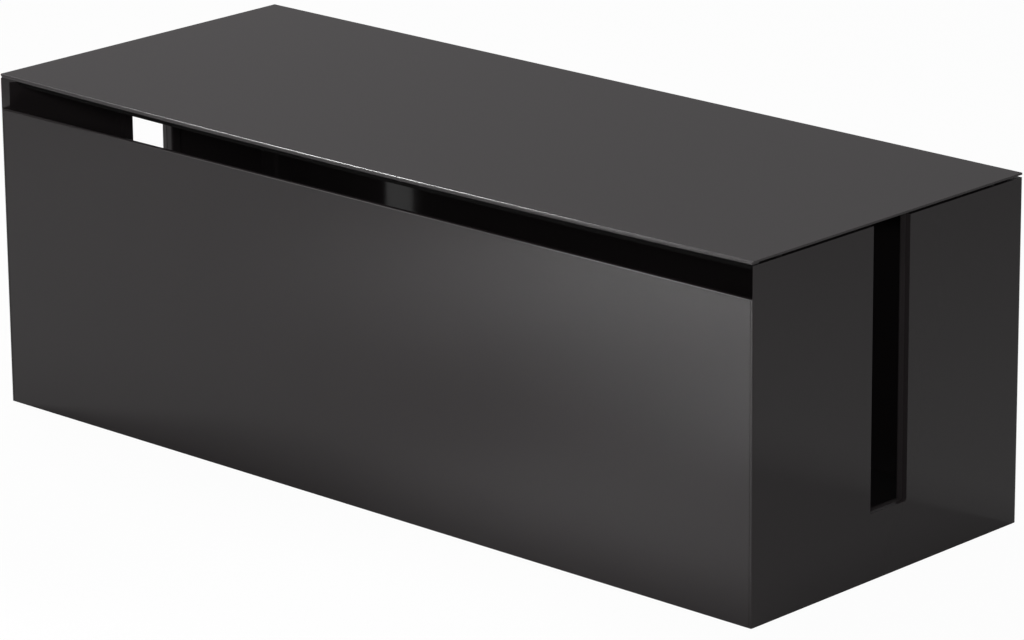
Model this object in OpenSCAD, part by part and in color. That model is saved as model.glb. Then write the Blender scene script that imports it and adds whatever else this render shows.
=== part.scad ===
// Cable management box: a panelled ABS body on rubber feet, with a lift-off steel lid.
// Origin: on the tabletop under the middle of the box. +X runs along the box, the front faces -Y.
// All sizes are in millimetres.

/* [Overall size] */
// Length of the box, end to end
box_length = 400; // [300:5:500]
// Depth of the box, front to back
box_depth = 156; // [120:2:220]
// Height from the tabletop to the top of the lid
box_height = 140; // [100:2:200]

/* [Body panels] */
// Thickness of the front panel
front_wall = 2; // [1.6:0.1:3.2]
// Thickness of the rear panel
rear_wall = 2; // [1.6:0.1:3.2]
// Thickness of the two end panels
end_wall = 2.2; // [2:0.1:3.4]
// Width of the lip on an end panel that covers the end of the front panel
lip_width = 1.1; // [0.8:0.1:1.5]
// Depth of the flange turned in along the top of the end and rear panels, wall included
flange_depth = 4; // [3.8:0.1:4.5]
// Thickness of that flange
flange_thickness = 2; // [1.2:0.1:3]
// How far the rear panel is set in from the back edges of the end panels
rear_recess = 1.6; // [0.6:0.1:2.4]
// Radius of the two back corners of each end panel
back_corner_radius = 1.2; // [0.5:0.1:4]
// Radius along the back edge of each end panel
back_edge_radius = 1.6; // [0.4:0.1:1.8]
// Radius along the front edge of each end panel
lip_edge_radius = 0.4; // [0.2:0.1:0.6]
// Radius along the top edge of the front panel
front_edge_radius = 0.8; // [0.3:0.1:0.8]
// Height of the panels' lower edges above the tabletop
panel_lift = 1; // [0.6:0.1:2]
// Height of the open gap between the front panel and the lid
front_gap = 12.7; // [8:0.1:40]
// Seam left round the front panel and the base
seam = 0.15; // [0.05:0.05:0.3]

/* [Cable slots] */
// Width of the slot in each end
slot_width = 21.2; // [12:0.2:40]
// Height of the slot's sill above the tabletop
slot_sill = 27.2; // [20:0.2:60]
// Radius of the slot's two lower corners
slot_corner_radius = 0.8; // [0.4:0.1:3]
// Depth of the slot from the outside of the end panel to the inside of its liner
jamb_depth = 5.5; // [4.8:0.1:8]
// Width of the liner's band round the slot
liner_band = 4.5; // [3:0.5:8]
// Radius of the liner's inner edge, which the cables run over
liner_edge_radius = 1; // [0.4:0.1:1.2]
// How far the liner stands back from the edge of the slot in the panel
liner_setback = 0.15; // [0.05:0.05:0.4]

/* [Lid] */
// Thickness of the steel sheet
lid_sheet = 0.8; // [0.7:0.1:1.5]
// Width of the front edge, folded flat under the sheet
hem_width = 4; // [3:0.1:4.5]
// How far the fold stops short of the lid's ends
hem_end_inset = 0.6; // [0.4:0.1:1]
// Radius of the lid's four corners
lid_corner_radius = 0.5; // [0.2:0.1:1]
// How far the lid stops short of the back of the end panels
lid_back_setback = 0.6; // [0:0.1:1]
// Clearance between the fold and the tops of the end panels
hem_clearance = 0.1; // [0.05:0.05:0.5]
// Diameter of the cushion dots
dot_diameter = 3; // [2:0.1:3.2]
// Distance of the end dots from the front and the back
dot_inset = 16; // [8:1:30]
// Distance between the two dots on the rear panel
rear_dot_spacing = 150; // [60:5:240]

/* [Lid rails] */
// Thickness of the rails' sheet
rail_sheet = 0.8; // [0.6:0.1:1.2]
// Drop of the rails below the lid's front edge
rail_drop = 3.8; // [2:0.1:6]
// Width of the rails' upper leg
rail_leg = 9; // [6:0.5:12]
// Outside radius of the rails' bend
rail_bend_radius = 1.4; // [1.2:0.1:2]
// Distance from the front hem to the front rail
front_rail_inset = 2; // [0.5:0.5:10]
// Clearance of the rails beside the flanges and the slot liners
rail_fit = 0.5; // [0.3:0.1:1]

/* [Base] */
// Thickness of the floor of the base
base_floor = 2.2; // [1.6:0.1:4]
// Height of the floor's underside above the tabletop
base_height = 6; // [5.5:0.5:10]
// Thickness of the skirt round the base
skirt_wall = 1.6; // [1.2:0.1:3]
// Thickness of the ribs under the base
rib_wall = 1.4; // [1:0.1:2.5]
// Depth of the ribs under the base
rib_depth = 3.4; // [2:0.1:4.4]
// Number of ribs across the base
cross_ribs = 9; // [3:2:15]
// Number of ribs along the base
long_ribs = 2; // [1:1:4]

/* [Posts and screws] */
// Width of the square corner posts
post_width = 9; // [8:0.5:14]
// Drop of the front posts below the top of the front panel
front_post_drop = 4; // [1:0.5:20]
// Drop of the rear posts below the lid's rails
rear_post_drop = 2; // [1:0.5:20]
// Radius of the post's free corner
post_corner_radius = 2; // [0.5:0.5:3]
// Diameter of the screws
screw_diameter = 3; // [2.5:0.1:3.5]
// Length of the screws under the head
screw_length = 16; // [12:1:25]
// Diameter of the screw heads
screw_head_diameter = 5.6; // [5:0.1:6.5]
// Height of the screw heads
screw_head_height = 1.8; // [1.5:0.1:2.4]
// Width across the cross recess in a screw head
cross_width = 3.6; // [3:0.1:4]
// Width of each bar of that cross
cross_bar = 0.9; // [0.6:0.1:1.2]
// Depth of that cross
cross_depth = 1.1; // [0.8:0.1:1.3]
// Gap round a screw in its hole
screw_fit = 0.05; // [0.02:0.01:0.2]
// How far a post's pilot hole runs past the tip of its screw
pilot_margin = 1; // [0.5:0.5:3]
// Gap round and below a screw head in its counterbore
head_fit = 0.3; // [0.1:0.1:0.5]
// Thickness of the base's boss between the screw head and the floor
head_seat = 1.8; // [1.4:0.1:2.6]

/* [Feet] */
// Diameter of the rubber feet
foot_diameter = 16; // [10:0.5:20]
// Distance of a foot's centre from the end of the box
foot_inset_x = 30; // [24:1:60]
// Distance of a foot's centre from the front or the back of the box
foot_inset_y = 26; // [24:1:36]
// Height of the feet below their seats
foot_stand = 2; // [1.6:0.1:3]
// Depth of the seat that holds a foot
foot_seat = 1.2; // [0.6:0.1:2]
// Wall round that seat
foot_seat_wall = 1.5; // [1:0.1:3]
// Gap round a foot in its seat
foot_fit = 0.1; // [0.05:0.05:0.4]
// Radius round the foot's lower edge
foot_edge_radius = 0.6; // [0.2:0.1:0.9]

/* [Hidden] */
$fn = 48;

LEFT = -1;
RIGHT = 1;
FRONT = -1;
REAR = 1;
CUT = 1; // how far a cutter runs past the face it opens
JOIN = 1; // how far a flange runs into the wall it is moulded on

steel_colour = "#4b4748";
rail_colour = "#1c1a1b";
panel_colour = "#383435";
liner_colour = "#282425";
inner_colour = "#302d2e";
screw_colour = "#8a8a8c";
rubber_colour = "#1b1a1a";

// Faces of the body
end_face = box_length / 2;
end_inner = end_face - end_wall;
front_face = -box_depth / 2;
front_inner = front_face + front_wall;
rear_edge = box_depth / 2;
rear_face = rear_edge - rear_recess;
rear_inner = rear_face - rear_wall;
flange_end = end_face - flange_depth;
flange_rear = rear_face - flange_depth;
liner_inner = end_face - jamb_depth;
liner_side = slot_width / 2 + liner_band;

// Heights of the body and the lid
sheet_underside = box_height - lid_sheet;
lid_underside = sheet_underside - lid_sheet;
panel_top = lid_underside - hem_clearance;
dot_height = sheet_underside - panel_top;
front_panel_top = lid_underside - front_gap;
rail_bottom = lid_underside - rail_drop;
floor_top = base_height + base_floor;

// Lid and rails
lid_back = rear_edge - lid_back_setback;
front_rail_face = front_face + hem_width + front_rail_inset;
rear_rail_face = flange_rear - rail_fit;
end_rail_face = flange_end - rail_fit;
end_rail_start = liner_side + rail_fit;

// Screws and feet
screw_x = end_inner - post_width / 2;
front_screw_y = front_inner + post_width / 2;
rear_screw_y = rear_inner - post_width / 2;
head_seat_height = base_height - head_seat;
screw_boss_bottom = head_seat_height - screw_head_height - head_fit;
screw_boss_radius = post_width / 2 - seam;
pilot_depth = head_seat_height + screw_length - floor_top + pilot_margin;
foot_x = end_face - foot_inset_x;
foot_y = rear_edge - foot_inset_y;
foot_boss_radius = foot_diameter / 2 + foot_fit + foot_seat_wall;
foot_height = foot_stand + foot_seat;

// Area to cut away so that the corner of a profile at the origin gets a round of this radius
module corner_round(radius) {
    difference() {
        translate([-CUT, -CUT]) square(radius + CUT);
        translate([radius, radius]) circle(radius);
    }
}

// Profile in 2D, turned so that it stands in the YZ plane and is extruded along +X
module along_x(length) {
    rotate([90, 0, 90]) linear_extrude(length) children();
}

// Profile in 2D, turned so that it stands in the XZ plane and is extruded along +Y
module along_y(length) {
    translate([0, length, 0]) rotate([90, 0, 0]) linear_extrude(length) children();
}

// Mirrors a piece drawn at the right rear to the corner that the two sides name
module to_corner(side_x, side_y) {
    mirror([side_x == LEFT ? 1 : 0, 0, 0])
        mirror([0, side_y == FRONT ? 1 : 0, 0])
            children();
}

// ---------------------------------------------------------------- lid

// Outline of the lid seen from above, its four corners rounded
module lid_outline() {
    depth = lid_back - front_face;
    translate([-end_face, front_face]) difference() {
        square([box_length, depth]);
        corner_round(lid_corner_radius);
        translate([box_length, 0]) mirror([1, 0]) corner_round(lid_corner_radius);
        translate([0, depth]) mirror([0, 1]) corner_round(lid_corner_radius);
        translate([box_length, depth]) rotate(180) corner_round(lid_corner_radius);
    }
}

// Steel sheet, its front edge folded flat underneath so that the bend makes a round nose
module lid_plate() {
    nose_radius = lid_sheet;
    hem_end = end_face - hem_end_inset;
    color(steel_colour) {
        intersection() {
            translate([0, 0, sheet_underside]) linear_extrude(lid_sheet) lid_outline();
            translate([-end_face, front_face, sheet_underside]) along_x(box_length)
                difference() {
                    square([lid_back - front_face, lid_sheet]);
                    translate([0, lid_sheet]) mirror([0, 1]) corner_round(nose_radius);
                }
        }
        translate([-hem_end, front_face, lid_underside]) along_x(2 * hem_end)
            difference() {
                square([hem_width, lid_sheet]);
                corner_round(nose_radius);
            }
    }
}

// Section of a rail: an angle with a rounded bend. Its face stands on the vertical axis,
// its upper leg lies under the horizontal one and points to +x.
module rail_section() {
    drop = sheet_underside - rail_bottom;
    translate([0, -drop]) square([rail_sheet, drop - rail_bend_radius]);
    translate([rail_bend_radius, -rail_sheet]) square([rail_leg - rail_bend_radius, rail_sheet]);
    intersection() {
        translate([0, -rail_bend_radius]) square(rail_bend_radius);
        translate([rail_bend_radius, -rail_bend_radius]) difference() {
            circle(rail_bend_radius);
            circle(rail_bend_radius - rail_sheet);
        }
    }
}

// Front rail, behind the lid's folded front edge
module lid_front_rail() {
    color(rail_colour)
    translate([-end_rail_face, front_rail_face, sheet_underside])
        along_x(2 * end_rail_face) rail_section();
}

// Rear rail, inside the rear panel's flange
module lid_rear_rail() {
    color(rail_colour)
    translate([-end_rail_face, rear_rail_face, sheet_underside])
        along_x(2 * end_rail_face) mirror([1, 0]) rail_section();
}

// Short rail beside the slot, inside an end panel's flange
module lid_end_rail(side_x, side_y) {
    front_stop = -front_rail_face - rail_leg - rail_fit;
    rear_stop = rear_rail_face - rail_leg - rail_fit;
    rail_length = (side_y == FRONT ? front_stop : rear_stop) - end_rail_start;
    color(rail_colour)
    to_corner(side_x, side_y)
        translate([end_rail_face, end_rail_start, sheet_underside])
            along_y(rail_length) mirror([1, 0]) rail_section();
}

// Soft dots stuck under the sheet, where the lid rests on the end and rear panels
module lid_cushion_dots() {
    end_dot_x = end_face - flange_depth / 2;
    rear_dot_y = rear_face - flange_depth / 2;
    color(rubber_colour) {
        for (x = [-end_dot_x, end_dot_x], y = [front_face + dot_inset, rear_face - dot_inset])
            translate([x, y, panel_top]) cylinder(h = dot_height, d = dot_diameter);
        for (x = [-1, 1] * rear_dot_spacing / 2)
            translate([x, rear_dot_y, panel_top]) cylinder(h = dot_height, d = dot_diameter);
    }
}

// ---------------------------------------------------------------- body panels

// Front panel, let into the rebates of the end panels, its top edge rounded
module front_panel() {
    half_length = end_face - lip_width - seam;
    height = front_panel_top - panel_lift;
    color(panel_colour)
    translate([-half_length, front_face, panel_lift]) along_x(2 * half_length)
        difference() {
            square([front_wall, height]);
            translate([0, height]) mirror([0, 1]) corner_round(front_edge_radius);
            translate([front_wall, height]) rotate(180) corner_round(front_edge_radius);
        }
}

// Rear panel, between the end panels, with a flange turned in along its top
module rear_panel() {
    height = panel_top - panel_lift;
    color(panel_colour)
    translate([-end_inner, rear_face, panel_lift]) along_x(2 * end_inner) {
        translate([-rear_wall, 0]) square([rear_wall, height]);
        translate([-flange_depth, height - flange_thickness]) square([flange_depth, flange_thickness]);
    }
}

// Outline of the cable slot, open at the top
module slot_outline() {
    translate([-slot_width / 2, slot_sill]) difference() {
        square([slot_width, box_height - slot_sill]);
        corner_round(slot_corner_radius);
        translate([slot_width, 0]) mirror([1, 0]) corner_round(slot_corner_radius);
    }
}

// Outline of an end panel seen from its end: square at the front, rounded at the back corners
module end_outline() {
    difference() {
        translate([front_face, panel_lift]) square([box_depth, panel_top - panel_lift]);
        translate([rear_edge, panel_lift]) mirror([1, 0]) corner_round(back_corner_radius);
        translate([rear_edge, panel_top]) rotate(180) corner_round(back_corner_radius);
    }
}

// Section of an end panel seen from above: its two outer edges rounded
module end_section() {
    translate([end_inner, front_face]) difference() {
        square([end_wall, box_depth]);
        translate([end_wall, 0]) mirror([1, 0]) corner_round(lip_edge_radius);
        translate([end_wall, box_depth]) rotate(180) corner_round(back_edge_radius);
    }
}

// End panel: a lip and rebate at the front for the front panel, an open cable slot, and a
// flange turned in along the top on both sides of the slot
module end_panel(side_x) {
    color(panel_colour)
    to_corner(side_x, REAR) {
        difference() {
            intersection() {
                translate([end_inner, 0, 0]) along_x(end_wall) difference() {
                    end_outline();
                    slot_outline();
                }
                linear_extrude(box_height) end_section();
            }
            translate([end_inner - CUT, front_face - CUT, 0])
                cube([end_wall - lip_width + CUT, front_wall + CUT, box_height]);
        }
        translate([flange_end, 0, panel_top - flange_thickness]) {
            flange_width = end_inner + JOIN - flange_end;
            translate([0, front_inner, 0])
                cube([flange_width, -liner_side - front_inner, flange_thickness]);
            translate([0, liner_side, 0])
                cube([flange_width, flange_rear - liner_side, flange_thickness]);
        }
    }
}

// Section of the liner's band: its inner edge towards the slot is rounded
module liner_section() {
    band = liner_band - liner_setback;
    depth = end_inner - liner_inner;
    difference() {
        square([depth, band]);
        corner_round(liner_edge_radius);
    }
}

// U-shaped liner behind the slot, which makes its edge deep and smooth for the cables
module slot_liner(side_x) {
    band = liner_band - liner_setback;
    slot_side = slot_width / 2 + liner_setback;
    bottom = slot_sill - liner_band;
    color(liner_colour)
    to_corner(side_x, REAR) {
        for (side_y = [FRONT, REAR])
            mirror([0, side_y == FRONT ? 1 : 0, 0])
                translate([liner_inner, slot_side, bottom])
                    linear_extrude(panel_top - bottom) liner_section();
        translate([liner_inner, -liner_side, slot_sill - liner_setback])
            along_y(2 * liner_side) mirror([0, 1]) liner_section();
    }
}

// ---------------------------------------------------------------- base, posts and screws

// How far back the screws of the front or the rear posts stand
function screw_y(side_y) = side_y == FRONT ? front_screw_y : rear_screw_y;

// Places the children at each of the four screws, one in every corner post
module at_screws() {
    for (side_x = [LEFT, RIGHT], side_y = [FRONT, REAR])
        translate([side_x * screw_x, screw_y(side_y), 0]) children();
}

// Places the children at each of the four feet
module at_feet() {
    for (side_x = [LEFT, RIGHT], side_y = [FRONT, REAR])
        translate([side_x * foot_x, side_y * foot_y, 0]) children();
}

// Floor of the box, with a skirt and ribs underneath and bosses for screws and feet
module base_plate() {
    half_length = end_inner - seam;
    front = front_inner + seam;
    depth = rear_inner - seam - front;
    skirt_bottom = panel_lift + seam;
    color(inner_colour)
    difference() {
        union() {
            translate([-half_length, front, base_height]) cube([2 * half_length, depth, base_floor]);
            translate([-half_length, front, skirt_bottom]) difference() {
                cube([2 * half_length, depth, base_height - skirt_bottom]);
                translate([skirt_wall, skirt_wall, -CUT])
                    cube([2 * (half_length - skirt_wall), depth - 2 * skirt_wall, base_height + CUT]);
            }
            for (i = [1:cross_ribs])
                translate([-half_length + i * 2 * half_length / (cross_ribs + 1) - rib_wall / 2,
                           front, base_height - rib_depth])
                    cube([rib_wall, depth, rib_depth]);
            for (i = [1:long_ribs])
                translate([-half_length, front + i * depth / (long_ribs + 1) - rib_wall / 2,
                           base_height - rib_depth])
                    cube([2 * half_length, rib_wall, rib_depth]);
            at_screws() translate([0, 0, screw_boss_bottom])
                cylinder(h = base_height - screw_boss_bottom, r = screw_boss_radius);
            at_feet() translate([0, 0, foot_stand])
                cylinder(h = base_height - foot_stand, r = foot_boss_radius);
        }
        at_screws() {
            cylinder(h = floor_top + CUT, d = screw_diameter + 2 * screw_fit);
            cylinder(h = head_seat_height, d = screw_head_diameter + 2 * head_fit);
        }
        at_feet() cylinder(h = foot_height, d = foot_diameter + 2 * foot_fit);
    }
}

// Square post that the panels of one corner are bonded to, drilled for the base's screw
module corner_post(side_x, side_y) {
    height = (side_y == FRONT ? front_panel_top - front_post_drop : rail_bottom - rear_post_drop)
             - floor_top;
    color(inner_colour)
    translate([side_x * screw_x, screw_y(side_y), floor_top]) difference() {
        to_corner(side_x, side_y) translate([-post_width / 2, -post_width / 2, 0])
            linear_extrude(height) difference() {
                square(post_width);
                corner_round(post_corner_radius);
            }
        translate([0, 0, -CUT]) cylinder(h = pilot_depth + CUT, d = screw_diameter + 2 * screw_fit);
    }
}

// Pan-head screws, driven up through the base into the posts
module base_screws() {
    color(screw_colour)
    at_screws() {
        translate([0, 0, head_seat_height]) cylinder(h = screw_length, d = screw_diameter);
        translate([0, 0, head_seat_height - screw_head_height]) difference() {
            cylinder(h = screw_head_height, d = screw_head_diameter);
            for (turn = [0, 90])
                rotate(turn) translate([-cross_width / 2, -cross_bar / 2, -CUT])
                    cube([cross_width, cross_bar, cross_depth + CUT]);
        }
    }
}

// Rubber foot, held in its seat under the base, its lower edge rounded
module foot(side_x, side_y) {
    radius = foot_diameter / 2;
    color(rubber_colour)
    translate([side_x * foot_x, side_y * foot_y, 0]) rotate_extrude() difference() {
        square([radius, foot_height]);
        translate([radius, 0]) mirror([1, 0]) corner_round(foot_edge_radius);
    }
}

lid_plate();
lid_front_rail();
lid_rear_rail();
lid_end_rail(LEFT, FRONT);  // lid_left_front_rail
lid_end_rail(LEFT, REAR);  // lid_left_rear_rail
lid_end_rail(RIGHT, FRONT);  // lid_right_front_rail
lid_end_rail(RIGHT, REAR);  // lid_right_rear_rail
lid_cushion_dots();
front_panel();
rear_panel();
end_panel(LEFT);  // left_end_panel
end_panel(RIGHT);  // right_end_panel
slot_liner(LEFT);  // left_slot_liner
slot_liner(RIGHT);  // right_slot_liner
base_plate();
corner_post(LEFT, FRONT);  // front_left_post
corner_post(RIGHT, FRONT);  // front_right_post
corner_post(LEFT, REAR);  // rear_left_post
corner_post(RIGHT, REAR);  // rear_right_post
base_screws();
foot(LEFT, FRONT);  // front_left_foot
foot(RIGHT, FRONT);  // front_right_foot
foot(LEFT, REAR);  // rear_left_foot
foot(RIGHT, REAR);  // rear_right_foot
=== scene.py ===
import math

import bmesh
import bpy
from mathutils import Matrix, Vector


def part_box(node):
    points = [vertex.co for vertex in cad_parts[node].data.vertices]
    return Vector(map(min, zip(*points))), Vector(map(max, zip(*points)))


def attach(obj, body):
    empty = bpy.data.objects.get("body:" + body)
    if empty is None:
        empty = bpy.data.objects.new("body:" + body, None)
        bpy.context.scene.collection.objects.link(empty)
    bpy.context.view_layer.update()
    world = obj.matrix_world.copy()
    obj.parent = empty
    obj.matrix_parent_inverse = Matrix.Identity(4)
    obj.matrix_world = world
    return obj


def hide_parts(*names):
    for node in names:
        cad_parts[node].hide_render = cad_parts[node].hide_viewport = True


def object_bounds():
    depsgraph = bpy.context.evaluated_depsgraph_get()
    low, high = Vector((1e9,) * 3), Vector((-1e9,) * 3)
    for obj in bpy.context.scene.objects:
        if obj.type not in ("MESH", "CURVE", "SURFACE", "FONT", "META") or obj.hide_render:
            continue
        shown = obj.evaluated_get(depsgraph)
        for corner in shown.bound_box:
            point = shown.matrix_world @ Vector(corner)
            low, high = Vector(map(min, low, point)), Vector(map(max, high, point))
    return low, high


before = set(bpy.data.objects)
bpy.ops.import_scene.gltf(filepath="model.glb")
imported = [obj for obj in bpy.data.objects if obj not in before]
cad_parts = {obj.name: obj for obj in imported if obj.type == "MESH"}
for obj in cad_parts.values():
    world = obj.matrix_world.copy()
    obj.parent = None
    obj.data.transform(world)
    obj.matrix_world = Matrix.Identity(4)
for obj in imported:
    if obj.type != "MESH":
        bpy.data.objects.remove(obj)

mm = 0.001
cad_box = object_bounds()


# ---------------------------------------------------------------- camera
# A long lens on a stand two metres away, in front of the box and to its right. It looks a little
# down on the lid, with the box filling the picture.

azimuth = math.radians(43.175)
elevation = math.radians(17.294)
roll = math.radians(-0.492)
distance = 2.0741
aim_right = 6.84 * mm
aim_up = -10.65 * mm
focal_length = 185.26
sensor_width = 36

box_middle = Vector((0, 0, (cad_box[0].z + cad_box[1].z) / 2))
back = Vector((math.sin(azimuth) * math.cos(elevation),
               -math.cos(azimuth) * math.cos(elevation),
               math.sin(elevation)))
level_right = Vector((math.cos(azimuth), math.sin(azimuth), 0))
level_up = back.cross(level_right)
right = level_right * math.cos(roll) + level_up * math.sin(roll)
up = level_up * math.cos(roll) - level_right * math.sin(roll)
stand = box_middle + right * aim_right + up * aim_up + back * distance

camera = bpy.data.objects.new("camera", bpy.data.cameras.new("camera"))
bpy.context.scene.collection.objects.link(camera)
camera.data.sensor_width = sensor_width
camera.data.lens = focal_length
camera.matrix_world = Matrix.Translation(stand) @ Matrix((right, up, back)).transposed().to_4x4()
bpy.context.scene.camera = camera
bpy.context.scene.view_settings.view_transform = "Standard"


# ---------------------------------------------------------------- lid sheet
# The lid is one sheet of 0.8 mm steel, powder coated in charcoal. Its front edge is folded flat
# underneath, which leaves a round nose. It lies loose on cushion dots at the ends and the back,
# so the front edge, with nothing under it, sags a little under its own weight.

sheet_thickness = 0.8 * mm
fold_width = 4 * mm
fold_end_inset = 0.6 * mm
nose_radius = 0.65 * mm
nose_segments = 8
lid_corner_radius = 0.5 * mm
corner_facets = 4
sheet_edge_radius = 0.12 * mm
edge_segments = 2
sharp_angle = math.radians(35)
merge_distance = 0.001 * mm
near_enough = 0.01 * mm
lid_low, lid_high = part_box("lid_plate")
sheet_underside = lid_high.z - sheet_thickness

# How the sheet hangs: the drop at the middle of its front edge, how late the drop sets in on the
# way from the back to the front, and the spacing of the mesh lines that let it bend
lid_sag = 1.7 * mm
sag_delay = 1.5
bend_spacing_x = 10 * mm
bend_spacing_y = 15 * mm


def sag(place):
    """How far the lid hangs down at a place: most in the middle of its front edge, and nothing
    at its ends or its back, where the cushion dots carry it."""
    along = max(0, 1 - (place.x / lid_high.x) ** 2)
    forward = (lid_high.y - place.y) / (lid_high.y - lid_low.y)
    return lid_sag * along * forward ** sag_delay


def block(name, low, high):
    """Adds a block between two corners and opens it in edit mode."""
    bpy.ops.object.select_all(action="DESELECT")
    bpy.ops.mesh.primitive_cube_add(size=1, location=(Vector(low) + Vector(high)) / 2,
                                    scale=Vector(high) - Vector(low))
    bpy.ops.object.transform_apply(location=True, rotation=True, scale=True)
    piece = bpy.context.object
    piece.name = piece.data.name = name
    bpy.ops.object.mode_set(mode="EDIT")
    return piece


def pick_faces(piece, test):
    """Selects only the faces whose middle and normal pass the test."""
    bpy.ops.mesh.select_mode(type="FACE")
    bpy.ops.mesh.select_all(action="DESELECT")
    mesh = bmesh.from_edit_mesh(piece.data)
    for face in mesh.faces:
        face.select_set(bool(test(face.calc_center_median(), face.normal)))
    bmesh.update_edit_mesh(piece.data)


def pick_edges(piece, test):
    """Selects only the edges whose two ends both pass the test."""
    bpy.ops.mesh.select_mode(type="EDGE")
    bpy.ops.mesh.select_all(action="DESELECT")
    mesh = bmesh.from_edit_mesh(piece.data)
    for edge in mesh.edges:
        edge.select_set(all(test(end.co) for end in edge.verts))
    bmesh.update_edit_mesh(piece.data)


def near(a, b):
    """True if two lengths are as good as equal."""
    return abs(a - b) < near_enough


def looks_down(normal):
    """True for the normal of a face on the underside."""
    return normal.z < -math.cos(sharp_angle)


def cut_across(normal, places, **options):
    """Cuts the whole open mesh with planes that stand at these distances along a normal."""
    normal = Vector(normal)
    for place in places:
        bpy.ops.mesh.select_all(action="SELECT")
        bpy.ops.mesh.bisect(plane_co=normal * place, plane_no=normal, **options)


def cut_off(normal, place):
    """Cuts away what lies past a plane, and closes the open mesh there with one face."""
    cut_across(normal, [place], clear_outer=True)
    bpy.ops.mesh.select_mode(type="EDGE")
    bpy.ops.mesh.select_all(action="DESELECT")
    bpy.ops.mesh.select_non_manifold(use_wire=False, use_multi_face=False,
                                     use_non_contiguous=False, use_verts=False)
    bpy.ops.mesh.edge_face_add()


def steps(low, high, spacing):
    """The places between two ends, without the ends, that are about the spacing apart."""
    count = max(1, round((high - low) / spacing))
    return [low + (high - low) * i / count for i in range(1, count)]


def round_corner(corner, radius):
    """Rounds one upright corner of the open mesh, with a row of cuts round its radius."""
    sides = Vector((math.copysign(1, corner[0]), math.copysign(1, corner[1]), 0))
    centre = Vector((corner[0], corner[1], 0)) - sides * radius
    for i in range(1, corner_facets):
        turn = i / corner_facets * math.pi / 2
        outwards = Vector((sides.x * math.cos(turn), sides.y * math.sin(turn), 0))
        cut_off(outwards, centre.dot(outwards) + radius)


def merge_doubles():
    """Merges the points of the active piece that lie on one another, and drops empty faces."""
    bpy.ops.object.mode_set(mode="EDIT")
    bpy.ops.mesh.select_all(action="SELECT")
    bpy.ops.mesh.remove_doubles(threshold=merge_distance)
    bpy.ops.mesh.dissolve_degenerate(threshold=merge_distance)
    bpy.ops.object.mode_set(mode="OBJECT")


def add_edge_radius(piece, radius):
    """Adds the modifier that rounds the piece's sharp edges, and returns its name."""
    bevel = piece.modifiers.new("edges", "BEVEL")
    bevel.width = radius
    bevel.segments = edge_segments
    bevel.limit_method = "ANGLE"
    bevel.angle_limit = sharp_angle
    return bevel.name


def add_flat_faces(piece):
    """Adds the modifier that keeps smooth-shaded flat faces flat, and returns its name."""
    weighted = piece.modifiers.new("flat faces", "WEIGHTED_NORMAL")
    weighted.keep_sharp = False
    return weighted.name


def soften_edges(piece, radius):
    """Leaves edit mode, and rounds the sharp edges of the piece for good."""
    bpy.ops.object.mode_set(mode="OBJECT")
    bpy.ops.object.modifier_apply(modifier=add_edge_radius(piece, radius))
    merge_doubles()


def shade(piece):
    """Shades the piece smooth over its rounded edges, with the flat faces kept flat."""
    bpy.ops.object.shade_smooth()
    bpy.ops.object.modifier_apply(modifier=add_flat_faces(piece))


def hang(piece):
    """Lets every point of the piece down by the lid's sag."""
    for vert in piece.data.vertices:
        vert.co.z -= sag(vert.co)


lid = block("lid_sheet", (lid_low.x, lid_low.y, sheet_underside), lid_high)
cut_across((0, 1, 0), [lid_low.y + fold_width])
cut_across((1, 0, 0), [lid_low.x + fold_end_inset, lid_high.x - fold_end_inset])
pick_faces(lid, lambda middle, normal: looks_down(normal) and middle.y < lid_low.y + fold_width
           and abs(middle.x) < lid_high.x - fold_end_inset)
bpy.ops.mesh.extrude_region_move(TRANSFORM_OT_translate={"value": (0, 0, -sheet_thickness)})
pick_edges(lid, lambda end: near(end.y, lid_low.y)
           and (near(end.z, lid_high.z) or near(end.z, lid_low.z)))
bpy.ops.mesh.bevel(offset=nose_radius, segments=nose_segments, affect="EDGES")
for corner in ((lid_low.x, lid_low.y), (lid_high.x, lid_low.y),
               (lid_low.x, lid_high.y), (lid_high.x, lid_high.y)):
    round_corner(corner, lid_corner_radius)
soften_edges(lid, sheet_edge_radius)
bpy.ops.object.mode_set(mode="EDIT")
cut_across((1, 0, 0), steps(lid_low.x, lid_high.x, bend_spacing_x))
cut_across((0, 1, 0), steps(lid_low.y, lid_high.y, bend_spacing_y))
bpy.ops.object.mode_set(mode="OBJECT")
hang(lid)
shade(lid)


def colour(code):
    """An sRGB hex colour as the linear colour that the nodes take."""
    channels = [int(code[i:i + 2], 16) / 255 for i in (1, 3, 5)]
    linear = [c / 12.92 if c <= 0.04045 else ((c + 0.055) / 1.055) ** 2.4 for c in channels]
    return (*linear, 1)


def new_material(name):
    """A material with an empty node tree, and that tree."""
    material = bpy.data.materials.new(name)
    material.use_nodes = True
    material.node_tree.nodes.clear()
    return material, material.node_tree


def node(tree, kind, inputs=None, **settings):
    """Adds a node with its settings. Each input gets a value, or a link from another node."""
    made = tree.nodes.new(kind)
    for name, value in settings.items():
        setattr(made, name, value)
    for name, value in (inputs or {}).items():
        if isinstance(value, bpy.types.NodeSocket):
            tree.links.new(value, made.inputs[name])
        else:
            made.inputs[name].default_value = value
    return made


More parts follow.
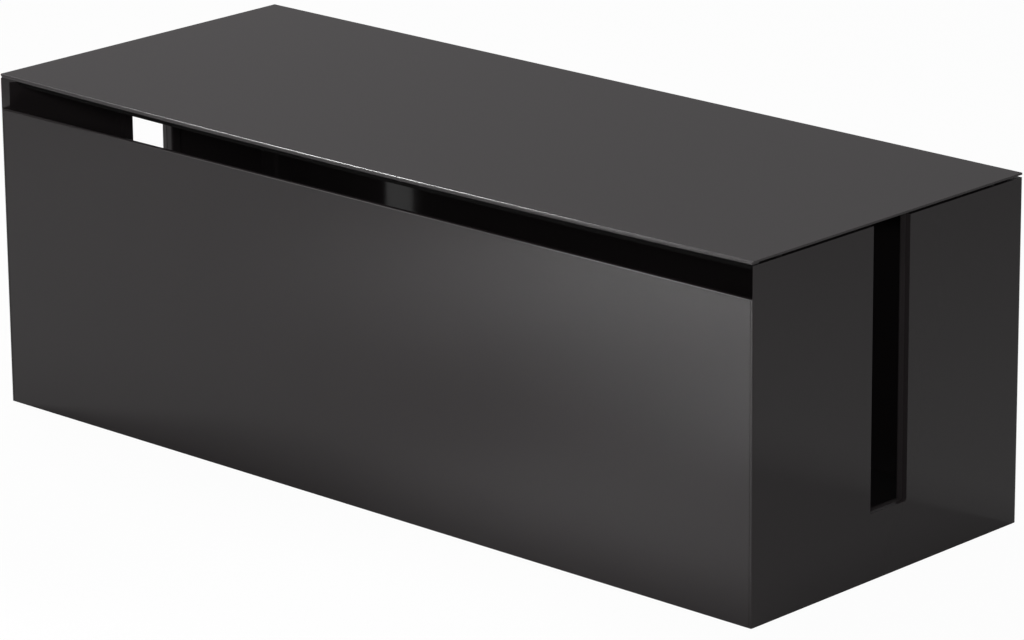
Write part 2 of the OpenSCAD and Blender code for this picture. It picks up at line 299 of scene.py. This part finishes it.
# Powder coat on steel: charcoal powder, baked to a fine matt grain that breaks up reflections
coat_grain = 0.5 * mm
coat_cloud = 45 * mm
powder_coat, tree = new_material("powder_coated_steel")
place = node(tree, "ShaderNodeTexCoord").outputs["Object"]
grain = node(tree, "ShaderNodeTexNoise", {"Vector": place, "Scale": 1 / coat_grain, "Detail": 3})
cloud = node(tree, "ShaderNodeTexNoise", {"Vector": place, "Scale": 1 / coat_cloud, "Detail": 2})
tone = node(tree, "ShaderNodeMix", {"Factor": grain.outputs["Fac"], "A": colour("#423f40"),
                                    "B": colour("#484546")}, data_type="RGBA")
sheen = node(tree, "ShaderNodeMapRange", {"Value": cloud.outputs["Fac"], "To Min": 0.18,
                                          "To Max": 0.21})
bump = node(tree, "ShaderNodeBump", {"Height": grain.outputs["Fac"], "Strength": 0.2,
                                     "Distance": 0.03 * mm})
surface = node(tree, "ShaderNodeBsdfPrincipled", {
    "Base Color": tone.outputs["Result"], "Roughness": sheen.outputs["Result"],
    "Normal": bump.outputs["Normal"], "IOR": 1.5, "Specular IOR Level": 0.4})
node(tree, "ShaderNodeOutputMaterial", {"Surface": surface.outputs["BSDF"]})
lid.data.materials.append(powder_coat)

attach(lid, "lid")
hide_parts("lid_plate")


# ---------------------------------------------------------------- rails under the lid
# Angles of 0.8 mm steel, bonded under the sheet and coloured near black as painted shade for the
# shadow under the lid's edge. The long front one is the dark strip behind the lid's edge, and it
# sags with the lid, so it is made anew here.

rail_thickness = 0.8 * mm
rail_bend_radius = 1.4 * mm
outer_bend_segments = 6
inner_bend_segments = 4
rail_low, rail_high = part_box("lid_front_rail")
flange_underside = rail_high.z - rail_thickness

front_rail = block("front_rail", (rail_low.x, rail_low.y, flange_underside), rail_high)
cut_across((0, 1, 0), [rail_low.y + rail_thickness])
pick_faces(front_rail, lambda middle, normal: looks_down(normal)
           and middle.y < rail_low.y + rail_thickness)
bpy.ops.mesh.extrude_region_move(
    TRANSFORM_OT_translate={"value": (0, 0, rail_low.z - rail_high.z + rail_thickness)})
pick_edges(front_rail, lambda end: near(end.y, rail_low.y) and near(end.z, rail_high.z))
bpy.ops.mesh.bevel(offset=rail_bend_radius, segments=outer_bend_segments, affect="EDGES")
pick_edges(front_rail, lambda end: near(end.y, rail_low.y + rail_thickness)
           and near(end.z, flange_underside))
bpy.ops.mesh.bevel(offset=rail_bend_radius - rail_thickness, segments=inner_bend_segments,
                   affect="EDGES")
soften_edges(front_rail, sheet_edge_radius)
bpy.ops.object.mode_set(mode="EDIT")
cut_across((1, 0, 0), steps(rail_low.x, rail_high.x, bend_spacing_x))
bpy.ops.object.mode_set(mode="OBJECT")
hang(front_rail)
shade(front_rail)

# Rail steel coloured near black, even and matt, with hardly any reflection: painted shade for the
# shadow under the lid's edge, with a faint orange peel in it
peel = 1.2 * mm
rail_shade_paint, tree = new_material("rail_steel_painted_shade")
place = node(tree, "ShaderNodeTexCoord").outputs["Object"]
grain = node(tree, "ShaderNodeTexNoise", {"Vector": place, "Scale": 1 / peel, "Detail": 2})
tone = node(tree, "ShaderNodeMix", {"Factor": grain.outputs["Fac"], "A": colour("#100f0f"),
                                    "B": colour("#151414")}, data_type="RGBA")
bump = node(tree, "ShaderNodeBump", {"Height": grain.outputs["Fac"], "Strength": 0.1,
                                     "Distance": 0.03 * mm})
surface = node(tree, "ShaderNodeBsdfPrincipled", {
    "Base Color": tone.outputs["Result"], "Roughness": 0.65, "Normal": bump.outputs["Normal"],
    "IOR": 1.5, "Specular IOR Level": 0.05})
node(tree, "ShaderNodeOutputMaterial", {"Surface": surface.outputs["BSDF"]})
front_rail.data.materials.append(rail_shade_paint)

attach(front_rail, "lid")
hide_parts("lid_front_rail")


def dress(piece, material, edge_radius):
    """Gives a piece its material, and breaks its sharp edges as a mould or a press does."""
    piece.data.materials.clear()
    piece.data.materials.append(material)
    bpy.ops.object.select_all(action="DESELECT")
    piece.select_set(True)
    bpy.context.view_layer.objects.active = piece
    bpy.ops.object.shade_smooth()
    weld = piece.modifiers.new("joined faces", "WELD")
    weld.merge_threshold = merge_distance
    add_edge_radius(piece, edge_radius)
    add_flat_faces(piece)


# The hidden rails take the same near-black painted shade
for name in ("lid_rear_rail", "lid_left_front_rail", "lid_left_rear_rail",
             "lid_right_front_rail", "lid_right_rear_rail"):
    dress(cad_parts[name], rail_shade_paint, sheet_edge_radius)


# ---------------------------------------------------------------- cushion dots and feet
# Black rubber: six self-adhesive dots that keep the steel lid off the plastic, and four round
# feet pressed into seats under the base.

rubber_edge_radius = 0.2 * mm

# Moulded rubber: black and dull, with a fine rough skin that hardly reflects. The skin's grain is
# drawn coarser than it is, so that it shows
rubber_grain = 0.4 * mm
rubber, tree = new_material("moulded_black_rubber")
place = node(tree, "ShaderNodeTexCoord").outputs["Object"]
grain = node(tree, "ShaderNodeTexNoise", {"Vector": place, "Scale": 1 / rubber_grain,
                                          "Detail": 4})
tone = node(tree, "ShaderNodeMix", {"Factor": grain.outputs["Fac"], "A": colour("#151414"),
                                    "B": colour("#201f1f")}, data_type="RGBA")
bump = node(tree, "ShaderNodeBump", {"Height": grain.outputs["Fac"], "Strength": 0.3,
                                     "Distance": 0.05 * mm})
surface = node(tree, "ShaderNodeBsdfPrincipled", {
    "Base Color": tone.outputs["Result"], "Roughness": 0.75, "Normal": bump.outputs["Normal"],
    "IOR": 1.52})
node(tree, "ShaderNodeOutputMaterial", {"Surface": surface.outputs["BSDF"]})

for name in ("lid_cushion_dots", "front_left_foot", "front_right_foot", "rear_left_foot",
             "rear_right_foot"):
    dress(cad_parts[name], rubber, rubber_edge_radius)


# ---------------------------------------------------------------- front, rear and end panels
# The walls of the box are moulded in charcoal ABS, in polished moulds that give them a gloss.
# They are bonded at the corners, where a lip of each end panel covers the end of the front panel.

panel_edge_radius = 0.15 * mm

# ABS from a polished mould: dark and glossy, with the faint waviness that thin walls have
gloss_ripple = 70 * mm
gloss_grain = 0.6 * mm
gloss_abs, tree = new_material("polished_moulded_abs")
place = node(tree, "ShaderNodeTexCoord").outputs["Object"]
ripple = node(tree, "ShaderNodeTexNoise", {"Vector": place, "Scale": 1 / gloss_ripple,
                                           "Detail": 1})
grain = node(tree, "ShaderNodeTexNoise", {"Vector": place, "Scale": 1 / gloss_grain, "Detail": 2})
tone = node(tree, "ShaderNodeMix", {"Factor": ripple.outputs["Fac"], "A": colour("#2d292a"),
                                    "B": colour("#302c2d")}, data_type="RGBA")
sheen = node(tree, "ShaderNodeMapRange", {"Value": ripple.outputs["Fac"], "To Min": 0.06,
                                          "To Max": 0.08})
bump = node(tree, "ShaderNodeBump", {"Height": grain.outputs["Fac"], "Strength": 0.06,
                                     "Distance": 0.02 * mm})
surface = node(tree, "ShaderNodeBsdfPrincipled", {
    "Base Color": tone.outputs["Result"], "Roughness": sheen.outputs["Result"],
    "Normal": bump.outputs["Normal"], "IOR": 1.53, "Specular IOR Level": 0.5})
node(tree, "ShaderNodeOutputMaterial", {"Surface": surface.outputs["BSDF"]})

for name in ("front_panel", "rear_panel"):
    dress(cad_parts[name], gloss_abs, panel_edge_radius)

# The end panels' front corners, from the top of the front panel up: a narrow flat beside the
# outside, then a slant inwards down to this depth
corner_flat = 0.25 * mm
corner_depth = 2.25 * mm
corner_slant = math.radians(54)
corner_clearance = 0.1 * mm


def join_solid(piece, other, way):
    """Joins a closed block to a piece, or cuts it out of the piece, and removes the block."""
    bpy.ops.object.mode_set(mode="OBJECT")
    bpy.ops.object.select_all(action="DESELECT")
    bpy.context.view_layer.objects.active = piece
    boolean = piece.modifiers.new("corner", "BOOLEAN")
    boolean.operation = way
    boolean.object = other
    bpy.ops.object.modifier_apply(modifier=boolean.name)
    bpy.data.objects.remove(other)


def end_wall(name, side):
    """One end panel, copied from its solid and merged. Beside the gap under the lid its front
    corner is filled in and cut at a slant, so that the gap runs out to the very corner."""
    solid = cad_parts[name]
    wall = bpy.data.objects.new(name.replace("panel", "wall"), solid.data.copy())
    bpy.context.scene.collection.objects.link(wall)
    bpy.ops.object.select_all(action="DESELECT")
    wall.select_set(True)
    bpy.context.view_layer.objects.active = wall
    merge_doubles()
    low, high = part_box(name)
    gap_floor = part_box("front_panel")[1].z + corner_clearance
    outer = high.x if side > 0 else low.x
    cut = outer - side * corner_flat
    inner = outer - side * corner_depth
    fill = block("corner_fill", (min(cut, inner), low.y, gap_floor),
                 (max(cut, inner), low.y + corner_depth, high.z))
    join_solid(wall, fill, "UNION")
    past = inner - side * corner_depth
    wedge = block("corner_wedge", (min(past, outer), low.y - corner_depth, gap_floor),
                  (max(past, outer), low.y + 2 * corner_depth, high.z + corner_depth))
    slope = Vector((side * math.sin(corner_slant), math.cos(corner_slant), 0))
    cut_off(slope, slope.dot(Vector((cut, low.y, 0))))
    join_solid(wall, wedge, "DIFFERENCE")
    wall.select_set(True)
    merge_doubles()
    return wall


for name, side in (("left_end_panel", -1), ("right_end_panel", 1)):
    wall = end_wall(name, side)
    dress(wall, gloss_abs, panel_edge_radius)
    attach(wall, "box")
    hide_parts(name)


# ---------------------------------------------------------------- liners, base and posts
# The inner parts are moulded in black ABS. The liners and posts are bonded to the panels, and the
# base is screwed to the posts from below.

inner_edge_radius = 0.2 * mm

# ABS from an eroded mould: near black and matt, with a fine even texture, drawn coarser than it
# is, so that it shows
mould_texture = 0.5 * mm
matt_abs, tree = new_material("matt_moulded_abs")
place = node(tree, "ShaderNodeTexCoord").outputs["Object"]
grain = node(tree, "ShaderNodeTexNoise", {"Vector": place, "Scale": 1 / mould_texture,
                                          "Detail": 3})
tone = node(tree, "ShaderNodeMix", {"Factor": grain.outputs["Fac"], "A": colour("#2e2a2b"),
                                    "B": colour("#343031")}, data_type="RGBA")
bump = node(tree, "ShaderNodeBump", {"Height": grain.outputs["Fac"], "Strength": 0.25,
                                     "Distance": 0.04 * mm})
surface = node(tree, "ShaderNodeBsdfPrincipled", {
    "Base Color": tone.outputs["Result"], "Roughness": 0.5, "Normal": bump.outputs["Normal"],
    "IOR": 1.53})
node(tree, "ShaderNodeOutputMaterial", {"Surface": surface.outputs["BSDF"]})

for name in ("left_slot_liner", "right_slot_liner", "base_plate", "front_left_post",
             "front_right_post", "rear_left_post", "rear_right_post"):
    dress(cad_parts[name], matt_abs, inner_edge_radius)


# ---------------------------------------------------------------- screws
# Four pan-head screws of zinc-plated steel with a cross recess. They are driven up through the
# base into the posts.

screw_edge_radius = 0.15 * mm

# Zinc plate on steel: pale grey metal, with a slight patchy dullness from the plating bath
zinc_stain = 1.5 * mm
zinc_plate, tree = new_material("zinc_plated_steel")
place = node(tree, "ShaderNodeTexCoord").outputs["Object"]
stain = node(tree, "ShaderNodeTexNoise", {"Vector": place, "Scale": 1 / zinc_stain, "Detail": 3})
tone = node(tree, "ShaderNodeMix", {"Factor": stain.outputs["Fac"], "A": colour("#a9a9a4"),
                                    "B": colour("#c2c3c6")}, data_type="RGBA")
sheen = node(tree, "ShaderNodeMapRange", {"Value": stain.outputs["Fac"], "To Min": 0.28,
                                          "To Max": 0.4})
surface = node(tree, "ShaderNodeBsdfPrincipled", {
    "Base Color": tone.outputs["Result"], "Roughness": sheen.outputs["Result"], "Metallic": 1})
node(tree, "ShaderNodeOutputMaterial", {"Surface": surface.outputs["BSDF"]})

dress(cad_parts["base_screws"], zinc_plate, screw_edge_radius)


# ---------------------------------------------------------------- floor, surroundings and lamps
# A wide white paper floor under a white room, and soft lamps. Floor and room look white from any
# side. The glossy panels mirror the paper as the lamps light it, and a dim share of the room, so
# that they stay dark.

floor_size = 8
floor_whiteness = 0.97
room_light = 0.03
room_mirrored = 0.13

bpy.ops.object.select_all(action="DESELECT")
bpy.ops.mesh.primitive_plane_add(size=floor_size)
floor = bpy.context.object
floor.name = "floor"

# Seamless paper: plain and matt, white to the eye, with a very faint shadow on it
paper, tree = new_material("white_paper")
ray = node(tree, "ShaderNodeLightPath")
seen = node(tree, "ShaderNodeMath", {0: ray.outputs["Is Camera Ray"],
                                     1: ray.outputs["Is Transmission Ray"]}, operation="MAXIMUM")
share = node(tree, "ShaderNodeMath", {0: seen.outputs[0], 1: floor_whiteness},
             operation="MULTIPLY")
matt = node(tree, "ShaderNodeBsdfDiffuse", {"Color": colour("#c0c0c0")})
white = node(tree, "ShaderNodeEmission", {"Color": colour("#ffffff"), "Strength": 1})
mixed = node(tree, "ShaderNodeMixShader", {0: share.outputs[0], 1: matt.outputs[0],
                                           2: white.outputs[0]})
node(tree, "ShaderNodeOutputMaterial", {"Surface": mixed.outputs[0]})
floor.data.materials.append(paper)

world = bpy.data.worlds.new("white_room")
world.use_nodes = True
bpy.context.scene.world = world
tree = world.node_tree
tree.nodes.clear()
ray = node(tree, "ShaderNodeLightPath")
seen = node(tree, "ShaderNodeMath", {0: ray.outputs["Is Camera Ray"],
                                     1: ray.outputs["Is Transmission Ray"]}, operation="MAXIMUM")
glossy = node(tree, "ShaderNodeMath", {0: ray.outputs["Is Glossy Ray"], 1: room_mirrored},
              operation="MULTIPLY")
share = node(tree, "ShaderNodeMath", {0: seen.outputs[0], 1: glossy.outputs[0]}, operation="ADD")
strength = node(tree, "ShaderNodeMapRange", {"Value": share.outputs[0], "To Min": room_light,
                                             "To Max": 1})
sky = node(tree, "ShaderNodeBackground", {"Color": colour("#ffffff"),
                                          "Strength": strength.outputs["Result"]})
node(tree, "ShaderNodeOutputWorld", {"Surface": sky.outputs[0]})


def lamp(name, place, target, size, power, spread=180, mirrored=True):
    """A rectangular soft lamp at a place, turned to its target, and not seen by the camera. Its
    size is in metres, its power in watts and its spread, the angle of its beam, in degrees.
    Glossy faces mirror it unless mirrored is False."""
    made = bpy.data.objects.new(name, bpy.data.lights.new(name, "AREA"))
    made.data.shape = "RECTANGLE"
    made.data.size, made.data.size_y = size
    made.data.energy = power
    made.data.spread = math.radians(spread)
    made.location = place
    made.rotation_euler = (Vector(target) - Vector(place)).to_track_quat("-Z", "Y").to_euler()
    made.visible_camera = False
    made.visible_glossy = mirrored
    bpy.context.scene.collection.objects.link(made)


# A large lamp over the lid, and a strip beside the camera for the front and the right end
lamp("overhead", place=(0.3, 0.0, 1.3), target=(0.1, 0, 0), size=(1.2, 0.8), power=5.6)
lamp("beside_camera", place=(1.0, -1.1, 0.566), target=(0, 0, 0.1), size=(0.6, 0.08), power=6.4,
     mirrored=False)

# Lamps on the left, for the lines of light along the lid's nose and the front panel's top edge
lamp("side", place=(-0.41, -0.71, 0.43), target=(0.1, -0.078, 0.12), size=(0.10, 0.45),
     power=0.75)
lamp("far_side", place=(-0.62, -0.71, 0.43), target=(0.0, -0.078, 0.12), size=(0.28, 0.45),
     power=0.7)
lamp("edge", place=(-0.72, 0.09, 0.90), target=(-0.06, -0.078, 0.14), size=(0.32, 0.12),
     power=6.6)

# Narrow beams straight down, for soft pools of light on the floor that the front panel mirrors
lamp("left_pool", place=(-0.08, -0.42, 0.5), target=(-0.08, -0.42, 0), size=(0.20, 0.12),
     power=0.38, spread=40)
lamp("right_pool", place=(0.08, -0.30, 0.5), target=(0.08, -0.30, 0), size=(0.15, 0.08),
     power=0.14, spread=30)
lamp("near_pool", place=(0.10, -0.14, 0.35), target=(0.10, -0.14, 0), size=(0.20, 0.05),
     power=0.032, spread=30)
